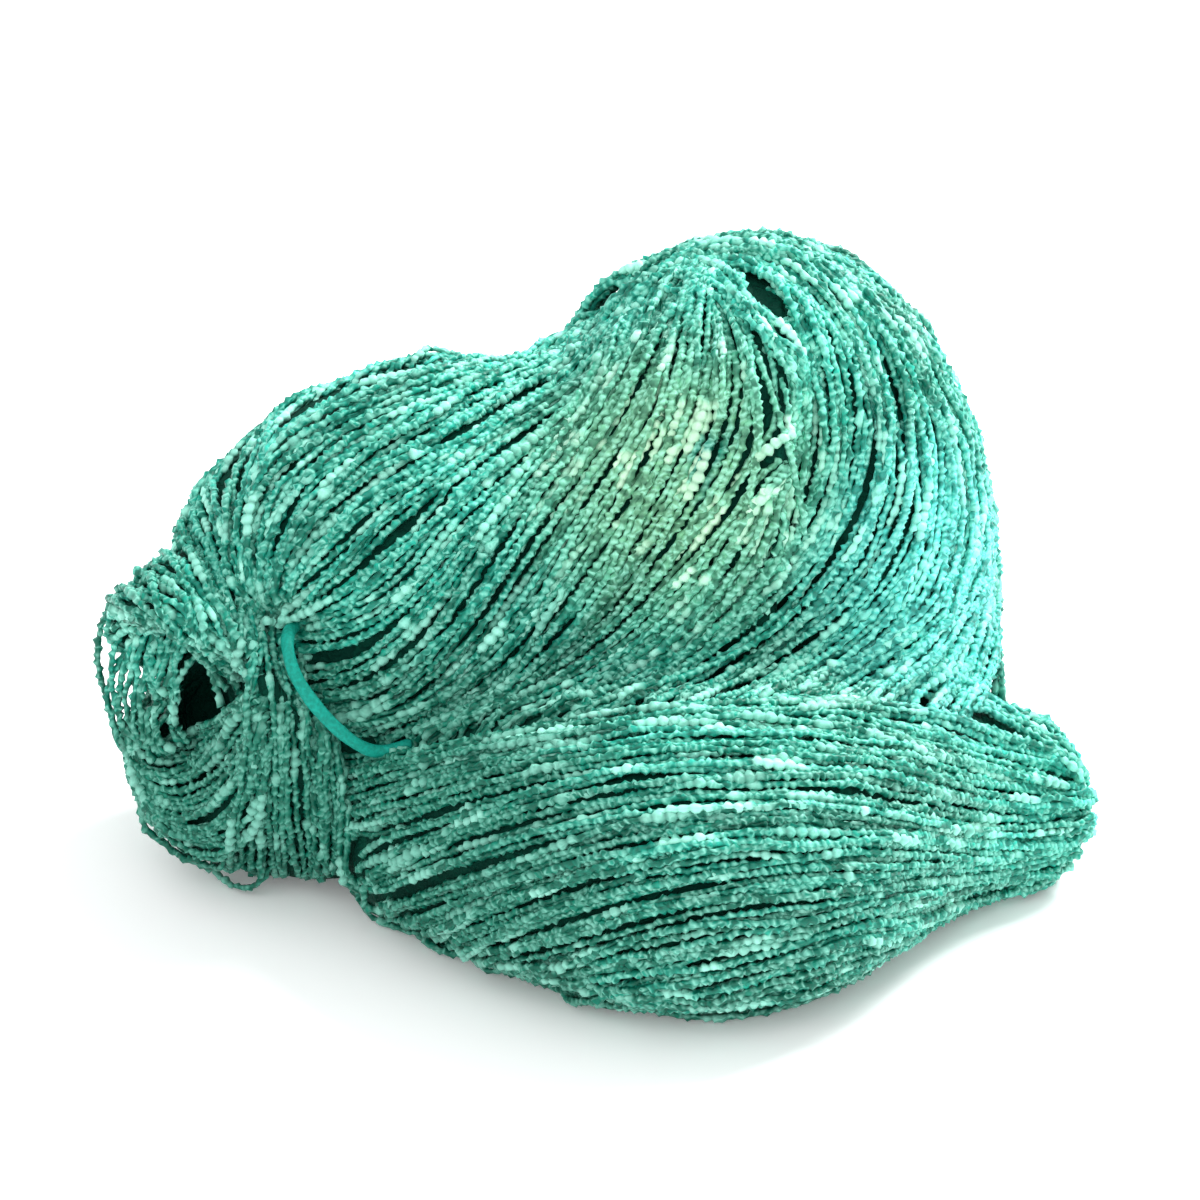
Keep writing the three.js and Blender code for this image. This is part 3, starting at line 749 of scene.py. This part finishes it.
def on_top(route, lift):
    flat = smooth_route(route, 3 * len(route))
    _, nearest, normal = to_skin(sighted(flat))
    return pull_taut((nearest + normal * lift)[None], np.full((1, len(flat)), lift), widths=(2, 1))[0]


laid = sum(loose("loose_strands", route) for route in solid_loose_strands)
laid += sum(loose("loose_strands", placed(np.array(route, float))) for route in stray_loops)
laid += sum(loose("loose_strands", on_top(route, 1.4)) for route in crossing_strands)
laid += sum(loose("loose_strands", on_top(route, 3.6), True) for route in knot_ends)
print("Loose strands: metres", round(laid / 1000, 2))

# %% [markdown]
# Spinning the yarn.
# Each path now gets its yarn: short curls that swing round the strand, and here and there a slub, a
# chain of thick soft beads. A plain tube with a bump map would look like wire from the side, so every
# curl is real geometry, two rings of points each, and a slub bead has three. At the back and underneath
# the curls are a little longer and have four sides instead of five, to keep the number of faces down.
# Strands are hundreds of small things, so they are built as joined meshes from arrays.

# %% Spin curls and slubs along a path
bead_profile = ((0.08, 0.56, 0.05), (0.38, 1.0, 1.0), (0.74, 0.94, 0.75))
bead_numbers = (1, 1, 1, 2, 2, 2, 2, 3, 3, 3, 4, 4, 5, 6)


def spin(length, scale, curl, fluffy):
    rings = []
    at = chance.uniform(0, curl)
    next_slub = 0 if fluffy else chance.exponential(slub_every) * chance.uniform(0, 1)
    while at < length:
        if at >= next_slub:
            beads = 99 if fluffy else int(chance.choice(bead_numbers))
            size = slub_radius * chance.uniform(0.7, 1.1)
            paleness = chance.uniform(0.3, 1.0)
            for bead in range(beads):
                tapered = 0.8 if bead in (0, beads - 1) and beads > 1 else 1.0
                radius = size * tapered * chance.uniform(0.88, 1.08)
                long = slub_bead * chance.uniform(0.8, 1.2) * tapered
                swing = chance.uniform(0, 2 * math.pi)
                for share, width, crest in bead_profile:
                    rings.append((at + long * share, radius * width, swing, 0.35 * crest, crest, paleness))
                at += long
            next_slub = at + chance.exponential(slub_every)
            continue
        long = curl * chance.uniform(0.7, 1.3)
        size = chance.uniform(0.84, 1.16) * scale
        swing = chance.uniform(0, 2 * math.pi)
        rings.append((at + long * 0.3, crest_radius * size, swing, curl_offset * size, 1.0, 0.0))
        rings.append((at + long * 0.8, dip_radius * size, swing, 0.0, 0.0, 0.0))
        at += long
    return np.array([ring for ring in rings if ring[0] < length])


def tube(path, outward, fluffy):
    steps = np.linalg.norm(np.diff(path, axis=0), axis=1)
    travelled = np.concatenate(([0], np.cumsum(steps)))
    seen = np.mean(outward @ toward_camera) > back_facing
    rings = spin(travelled[-1], chance.uniform(0.84, 1.16), curl_length if seen else far_curl, fluffy)
    if len(rings) < 3:
        return None
    place, radius, swing, offset, crest, slub = rings.T
    middle = np.stack([np.interp(place, travelled, path[:, axis]) for axis in range(3)], -1)
    facing = np.stack([np.interp(place, travelled, outward[:, axis]) for axis in range(3)], -1)
    tangent = unit(np.gradient(middle, axis=0))
    side = unit(np.cross(tangent, facing))
    out = np.cross(side, tangent)
    middle = middle + (side * np.cos(swing)[:, None] + out * np.sin(swing)[:, None]) * offset[:, None]
    sides = near_sides if seen else far_sides
    turn = (2 * math.pi * np.arange(sides) / sides)[None]
    lumpy = radius[:, None] * (1 + 0.07 * chance.uniform(-1, 1, (len(rings), sides)))
    across = np.cos(turn) * lumpy
    slant = (chance.uniform(0.1, 0.45, (len(rings), 1)) * (slub[:, None] == 0) + 0.1) * across
    points = (middle[:, None] + side[:, None] * across[..., None] + tangent[:, None] * slant[..., None]
              + out[:, None] * (np.sin(turn) * lumpy)[..., None])
    return points, place, crest, slub


# %% [markdown]
# From rings to a mesh.
# Each strand becomes a tube of quads with a cap at each end. Three values are kept on its points for the
# material: how far out on a curl a point is, how much of a slub it is, and one tone for the whole strand,
# since no two turns take the dye alike. Its map gives the length along the strand and the way round it,
# for a material that needs them. The one below doesn't.

# %% Join a group of strands into pieces
faces_allowed = 90000                     # a piece is closed once it has more quads than this


def join_tubes(name, tubes):
    corners, starts, marks, maps, points = [], [], [], [], []
    base = 0
    corner_count = 0
    for rings, place, crest, slub in tubes:
        count, ring_sides = rings.shape[:2]
        points.append(rings.reshape(-1, 3))
        tone = chance.uniform(-1, 1)
        marks.append(np.stack([np.repeat(crest, ring_sides), np.repeat(slub, ring_sides),
                               np.full(count * ring_sides, tone)]))
        ring = np.arange(count - 1)[:, None] * ring_sides + base
        side = np.arange(ring_sides)[None]
        after = (side + 1) % ring_sides
        quads = np.stack([ring + side, ring + ring_sides + side, ring + ring_sides + after, ring + after], -1)
        corners.append(quads.reshape(-1))
        starts.append(np.arange(quads.shape[0] * ring_sides) * 4 + corner_count)
        corner_count += quads.size
        low, high = place[:-1, None], place[1:, None]
        round_low = np.broadcast_to(side / ring_sides, quads.shape[:2])
        round_high = round_low + 1 / ring_sides
        low, high = np.broadcast_to(low, quads.shape[:2]), np.broadcast_to(high, quads.shape[:2])
        quad_map = np.stack([low, round_low, high, round_low, high, round_high, low, round_high], -1)
        maps.append(quad_map.reshape(-1, 2))
        first_cap = np.arange(ring_sides) + base
        last_cap = np.arange(ring_sides) + ring[-1, 0] + ring_sides
        for cap in (first_cap, last_cap[::-1]):
            corners.append(cap)
            starts.append(np.array([corner_count]))
            corner_count += ring_sides
            maps.append(np.zeros((ring_sides, 2)))
        base += count * ring_sides
    points = (np.concatenate(points) + to_model) / 1000
    made = bpy.data.meshes.new(name)
    made.vertices.add(len(points))
    made.vertices.foreach_set("co", points.ravel())
    corners = np.concatenate(corners)
    starts = np.concatenate(starts)
    made.loops.add(len(corners))
    made.loops.foreach_set("vertex_index", corners.astype(np.int32))
    made.polygons.add(len(starts))
    made.polygons.foreach_set("loop_start", starts.astype(np.int32))
    made.update(calc_edges=True)
    made.validate()
    marks = np.concatenate(marks, 1)
    for label, values in zip(("crest", "slub", "tone"), marks):
        made.attributes.new(label, "FLOAT", "POINT").data.foreach_set("value", values.astype(np.float32))
    strand_map = made.uv_layers.new(name="strand_map")
    strand_map.data.foreach_set("uv", np.concatenate(maps).astype(np.float32).ravel())
    made.shade_smooth()
    return add_object(name, made)


strand_pieces = []
for group, paths in strands.items():
    batch, faces, number = [], 0, 1
    for path, outward, fluffy in paths:
        made = tube(path, outward, fluffy)
        if made is None:
            continue
        batch.append(made)
        faces += len(made[1]) * made[0].shape[1]
        if faces > faces_allowed:
            strand_pieces.append(join_tubes(f"{group}_{number}", batch))
            batch, faces, number = [], 0, number + 1
    if batch:
        strand_pieces.append(join_tubes(f"{group}_{number}", batch))
quads = [len(piece.data.polygons) for piece in strand_pieces]
print("Strand pieces", len(quads), "largest in triangles", 2 * max(quads), "all in triangles", 2 * sum(quads))

# %% [markdown]
# The tie.
# A smooth soft cord holds the strands together at the waist. It comes out of the yarn, bends down and
# to the right, and goes into the crease between the two runs. A curve object with a round section would
# be plainer, but soft cord is never quite round, so its rings are made here and are a little uneven.
# The first seven points of its route lie 2 to 4 mm from those of the solid tie, mostly to the right. They
# should be the solid's own points, and its width 4.0.

# %% Make the tie
tie_width = 3.6
tie_route = [
    [-83, -24, 84], [-84.5, -33, 86], [-84.5, -40.5, 85], [-83, -44, 80], [-79.5, -46.5, 74], [-74, -48, 67],
    [-67, -48, 60], [-61, -46, 56], [-53, -43, 56], [-46, -37, 57], [-40, -28, 57], [-36, -20, 56],
]


def make_cord(name, route, width, samples=150, sides=16):
    path = (smooth_route(route, samples) + to_model) / 1000
    cord = bmesh.new()
    tangent = unit(np.gradient(path, axis=0))
    facing = np.array([0.0, -1.0, 0.3])
    rings = []
    for index, (middle, along) in enumerate(zip(path, tangent)):
        side = unit(np.cross(along, facing))
        out = np.cross(side, along)
        ring = []
        for step in range(sides):
            angle = 2 * math.pi * step / sides
            uneven = 1 + 0.05 * math.sin(2 * angle + index * 0.13) + 0.03 * math.sin(index * 0.37)
            radius = width / 2000 * uneven
            ring.append(cord.verts.new(middle + (side * math.cos(angle) + out * math.sin(angle)) * radius))
        rings.append(ring)
    for low, high in zip(rings, rings[1:]):
        for step in range(sides):
            after = (step + 1) % sides
            cord.faces.new((low[step], high[step], high[after], low[after]))
    cord.faces.new(rings[0])
    cord.faces.new(rings[-1][::-1])
    bmesh.ops.recalc_face_normals(cord, faces=cord.faces)
    made = bpy.data.meshes.new(name)
    cord.to_mesh(made)
    cord.free()
    made.shade_smooth()
    return add_object(name, made)


tie_piece = make_cord("tie_cord", tie_route, tie_width)
print("Tie faces", len(tie_piece.data.polygons))

# %% [markdown]
# Shader maths in plain Python.
# A material is a network of nodes. Written as expressions it stays readable, so one small class wraps
# a socket: adding or multiplying two of them adds the Math node that does it.

# %% A small class for shader maths
class Channel:
    def __init__(self, sheet, socket):
        self.sheet, self.socket = sheet, socket

    def _math(self, operation, *values):
        return self.sheet.add("ShaderNodeMath", {"operation": operation}, dict(enumerate(values)))

    def __add__(self, other):
        return self._math("ADD", self, other)

    def __sub__(self, other):
        return self._math("SUBTRACT", self, other)

    def __mul__(self, other):
        return self._math("MULTIPLY", self, other)

    def __rsub__(self, other):
        return self._math("SUBTRACT", other, self)

    __radd__ = __add__

    def absolute(self):
        return self._math("ABSOLUTE", self)

    def limited(self):
        self.socket.node.use_clamp = True
        return self

    def ramp(self, low, high, start=0.0, stop=1.0):
        return self.sheet.add("ShaderNodeMapRange", {"interpolation_type": "SMOOTHSTEP"}, {
            "Value": self, "From Min": low, "From Max": high, "To Min": start, "To Max": stop,
        })


class Sheet:
    def __init__(self, name):
        self.material = bpy.data.materials.new(name)
        self.material.use_nodes = True
        self.nodes = self.material.node_tree.nodes
        self.links = self.material.node_tree.links
        self.nodes.clear()

    def add(self, kind, settings=None, inputs=None, output=0):
        node = self.nodes.new(kind)
        for key, value in (settings or {}).items():
            setattr(node, key, value)
        for key, value in (inputs or {}).items():
            if isinstance(value, Channel):
                self.links.new(value.socket, node.inputs[key])
            else:
                node.inputs[key].default_value = value
        return Channel(self, node.outputs[output]) if len(node.outputs) else None

    def blend(self, factor, first, second):
        return self.add("ShaderNodeMix", {"data_type": "RGBA", "blend_type": "MIX"},
                        {0: factor, 6: first, 7: second}, output=2)

    def mark(self, name):
        return self.add("ShaderNodeAttribute", {"attribute_name": name}, output=2)

    def noise(self, place, scale, detail=2.0, roughness=0.5, distortion=0.0):
        return self.add("ShaderNodeTexNoise", {}, {"Vector": place, "Scale": scale, "Detail": detail,
                                                   "Roughness": roughness, "Distortion": distortion})

    def finish(self, shader):
        self.add("ShaderNodeOutputMaterial", {}, {"Surface": shader})
        return self.material

    def cloth(self, colour, height, strength, depth, roughness, shine):
        relief = self.add("ShaderNodeBump", {}, {"Strength": strength, "Distance": depth, "Height": height})
        return self.finish(self.add("ShaderNodeBsdfPrincipled", {}, {
            "Base Color": colour, "Roughness": roughness, "Normal": relief, "Specular IOR Level": shine,
        }))


# %% [markdown]
# The finish of the yarn.
# Hand-dyed yarn is never one colour. Broad zones run from deep teal to pale aqua, with one patch of
# yellow-green where the dye was thin, each turn took a slightly different tone, and the slubs, which
# are hardly twisted, took the least. The yarn is also paler at the right end of the lower run. Over the
# dye, shade is painted: darker towards the bottom and over the lower left, in dark pits between the
# curls, and in the dip of each curl, so the crest of each curl is paler than the dip beside it. A patch
# of painted light brightens the right of the upper run to turquoise. Thin swirls of noise stand for the
# single plies: in the bump, and in colour as painted highlights, mostly on the crests, and each slub
# bead gets a painted highlight on its crest. A picture could give all this too,
# but procedural colour needs no map and stays sharp at any distance.

# %% Materials
deep = (0.002, 0.200, 0.130, 1)
teal = (0.006, 0.420, 0.300, 1)
aqua = (0.060, 0.760, 0.600, 1)
olive = (0.270, 0.640, 0.350, 1)
# painted light: the colour of the lit right side of the upper run
painted_light_turquoise = (0.120, 0.880, 0.780, 1)
# the colour of the painted highlights, and the base of the slubs' own pale colour
highlight_and_slub_mint = (0.430, 0.950, 0.790, 1)
cream = (0.740, 0.960, 0.700, 1)
# painted shade: the dark green of yarn that lies in shadow
painted_shade = (0.000, 0.060, 0.036, 1)
# painted shade: the darkest yarn in shadow, deep in the under-layer
inside = (0.000, 0.034, 0.022, 1)
tie_dark = (0.000, 0.190, 0.140, 1)
tie_pale = (0.005, 0.400, 0.310, 1)
floor_white = (0.960, 0.965, 0.970, 1)
pure_white = (1.0, 1.0, 1.0, 1)


def zone(sheet, place, middle, inner, outer):
    reach = sheet.add("ShaderNodeVectorMath", {"operation": "DISTANCE"}, {0: place, 1: middle}, output=1)
    return reach.ramp(inner, outer, 1.0, 0.0)


def yarn_finish():
    sheet = Sheet("slub yarn")
    place = sheet.add("ShaderNodeTexCoord", output=3)
    crest, slub, tone = sheet.mark("crest"), sheet.mark("slub"), sheet.mark("tone")
    broad = sheet.noise(place, 16.0)
    patchy = sheet.noise(place, 60.0)
    height = sheet.add("ShaderNodeSeparateXYZ", {}, {0: place}, output=2)
    # painted shade over the lower left of the hank
    painted_shade_lower_left = zone(sheet, place, (-0.070, -0.045, 0.020), 0.04, 0.12)
    pale_end = zone(sheet, place, (0.130, -0.010, 0.030), 0.01, 0.06)
    # painted shade: the yarn gets darker below 9 cm, towards the floor
    low = height.ramp(0.09, 0.05)
    # lightness: broad and patchy dye noise and each strand's tone, less the painted shade at the bottom and
    # lower left, and paler at the right end of the lower run
    light = broad * 0.8 + tone * 0.2 + patchy * 0.5 - low * 0.3
    light = (light - painted_shade_lower_left * 0.35 + pale_end * 0.4 - 0.2).limited()
    colour = sheet.blend(light.ramp(0.0, 0.5), deep, teal)
    colour = sheet.blend(light.ramp(0.35, 1.0), colour, aqua)
    thin_dye = zone(sheet, place, (0.022, -0.010, 0.125), 0.012, 0.055)
    thin_patch = (patchy + tone * 0.12 + 0.2).ramp(0.35, 0.6)
    colour = sheet.blend((thin_dye * thin_patch * 0.85).limited(), colour, olive)
    # painted light: a turquoise glow over the right of the upper run, the side that the lamp lights
    painted_light_right = zone(sheet, place, (0.098, 0.0, 0.09), 0.02, 0.055)
    colour = sheet.blend((painted_light_right * 0.85).limited(), colour, painted_light_turquoise)
    curls = sheet.noise(place, 290.0, 1.0, 0.5, 0.8)
    fibre = sheet.noise(place, 1300.0, 2.0, 0.6)
    plain = 1 - slub * 0.8
    # the share of the yarn outside the painted shade; it dims the painted highlights and the slubs' paleness
    # there
    outside_painted_shade = 1 - painted_shade_lower_left * 0.4 - low * 0.15
    # painted shade: dark pits between the curls, fewer on the slubs
    colour = sheet.blend(curls.ramp(0.52, 0.34) * plain * 0.6, colour, painted_shade)
    # painted shade in the dip of each curl, so the crest is paler
    colour = sheet.blend((1 - crest) * 0.45, colour, painted_shade)
    # painted highlights: thin mint swirls for the single plies, strongest on the crests and dimmed in the
    # painted shade
    painted_thread_highlights = (1 - (curls - 0.56).absolute() * 8).limited()
    colour = sheet.blend((painted_thread_highlights * (0.12 + crest * 0.5) * plain * outside_painted_shade).limited(), colour, highlight_and_slub_mint)
    pale = sheet.blend(thin_dye * 0.8, highlight_and_slub_mint, cream)
    # the slubs' own pale colour, less dyed, plus a painted highlight on each bead's crest, dimmed in the
    # painted shade
    colour = sheet.blend((slub * (0.55 + tone * 0.2 + crest * 0.4) * outside_painted_shade).limited(), colour, pale)
    bumps = curls * plain + fibre * 0.18
    return sheet.cloth(colour, bumps, strength=0.9, depth=0.0008, roughness=0.45, shine=0.3)


def under_finish():
    sheet = Sheet("yarn in shadow")
    place = sheet.add("ShaderNodeTexCoord", output=3)
    curls = sheet.noise(place, 300.0, 2.0, 0.55, 0.9)
    broad = sheet.noise(place, 70.0)
    # both colours are painted shade: the yarn under the strands is dark only because it lies in shadow
    colour = sheet.blend(curls.ramp(0.42, 0.66) * broad.ramp(0.3, 0.6), inside, painted_shade)
    return sheet.cloth(colour, curls, strength=1.0, depth=0.0025, roughness=0.8, shine=0.1)


def tie_finish():
    sheet = Sheet("soft tie cord")
    place = sheet.add("ShaderNodeTexCoord", output=3)
    streaks = sheet.noise(place, 900.0, 3.0, 0.6)
    broad = sheet.noise(place, 120.0)
    colour = sheet.blend(streaks.ramp(0.35, 0.7) * 0.5 + broad * 0.3, tie_dark, tie_pale)
    return sheet.cloth(colour, streaks, strength=0.5, depth=0.0004, roughness=0.6, shine=0.2)


yarn_material, under_material, tie_material = yarn_finish(), under_finish(), tie_finish()
under_layer.data.materials.append(under_material)
tie_piece.data.materials.append(tie_material)
for piece in strand_pieces:
    piece.data.materials.append(yarn_material)
print("Materials", [material.name for material in (yarn_material, under_material, tie_material)])

# %% [markdown]
# Riding on the frame.
# Every piece moves with the solid model's one body. The strands and the under-layer stand for the
# hank's solid, and the cord stands for the tie's.

# %% Attach the pieces
for piece in [under_layer, *strand_pieces]:
    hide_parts("hank")
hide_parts("tie")
for piece in [under_layer, tie_piece, *strand_pieces]:
    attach(piece, "root")

# %% [markdown]
# The stage.
# The object lies on a plain white surface in soft light from above, right and behind, so its shadow
# falls softly towards the front left, and a weak lamp fills in from the front. A large plane is floor and
# backdrop in one.

# %% Floor, light and camera
stage_mesh = bpy.data.meshes.new("floor")
stage = bmesh.new()
bmesh.ops.create_grid(stage, x_segments=1, y_segments=1, size=4.0)
stage.to_mesh(stage_mesh)
stage.free()
floor = add_object("floor", stage_mesh)
white = Sheet("white surface")
floor_shader = white.add("ShaderNodeBsdfPrincipled", {}, {
    "Base Color": floor_white, "Roughness": 0.9, "Specular IOR Level": 0.1,
    "Emission Strength": 0.1, "Emission Color": pure_white,
})
floor.data.materials.append(white.finish(floor_shader))

world = bpy.data.worlds.new("soft light")
world.use_nodes = True
world.node_tree.nodes["Background"].inputs["Color"].default_value = pure_white
world.node_tree.nodes["Background"].inputs["Strength"].default_value = 1.0
bpy.context.scene.world = world


def soft_lamp(name, place, aim, power, size):
    light = bpy.data.lights.new(name, "AREA")
    light.energy = power
    light.size = size
    lamp = add_object(name, light)
    lamp.location = place
    lamp.rotation_mode = "QUATERNION"
    lamp.rotation_quaternion = (Vector(aim) - Vector(place)).to_track_quat("-Z", "Y")


soft_lamp("window", (0.75, 0.55, 1.1), (0, 0, 0.06), 30.0, 0.6)
soft_lamp("front_fill", (-0.3, -1.2, 1.0), (0, 0, 0.06), 7.0, 1.2)

picture_scale = 0.28                      # millimetres of the object in one pixel of a 1200 pixel picture
half_picture = 600                        # pixels from the picture's middle to its edge
camera_data = bpy.data.cameras.new("camera")
camera_data.sensor_width = 36
camera_data.lens = 36 / 2 / (half_picture * picture_scale / camera_distance)
camera = add_object("camera", camera_data)
camera.location = Vector((picture_middle + to_model + toward_camera * camera_distance) / 1000)
camera.rotation_mode = "QUATERNION"
camera.rotation_quaternion = Vector(-toward_camera).to_track_quat("-Z", "Y")
bpy.context.scene.camera = camera
bpy.context.scene.view_settings.view_transform = "Standard"
print("Lens", round(camera_data.lens, 1))
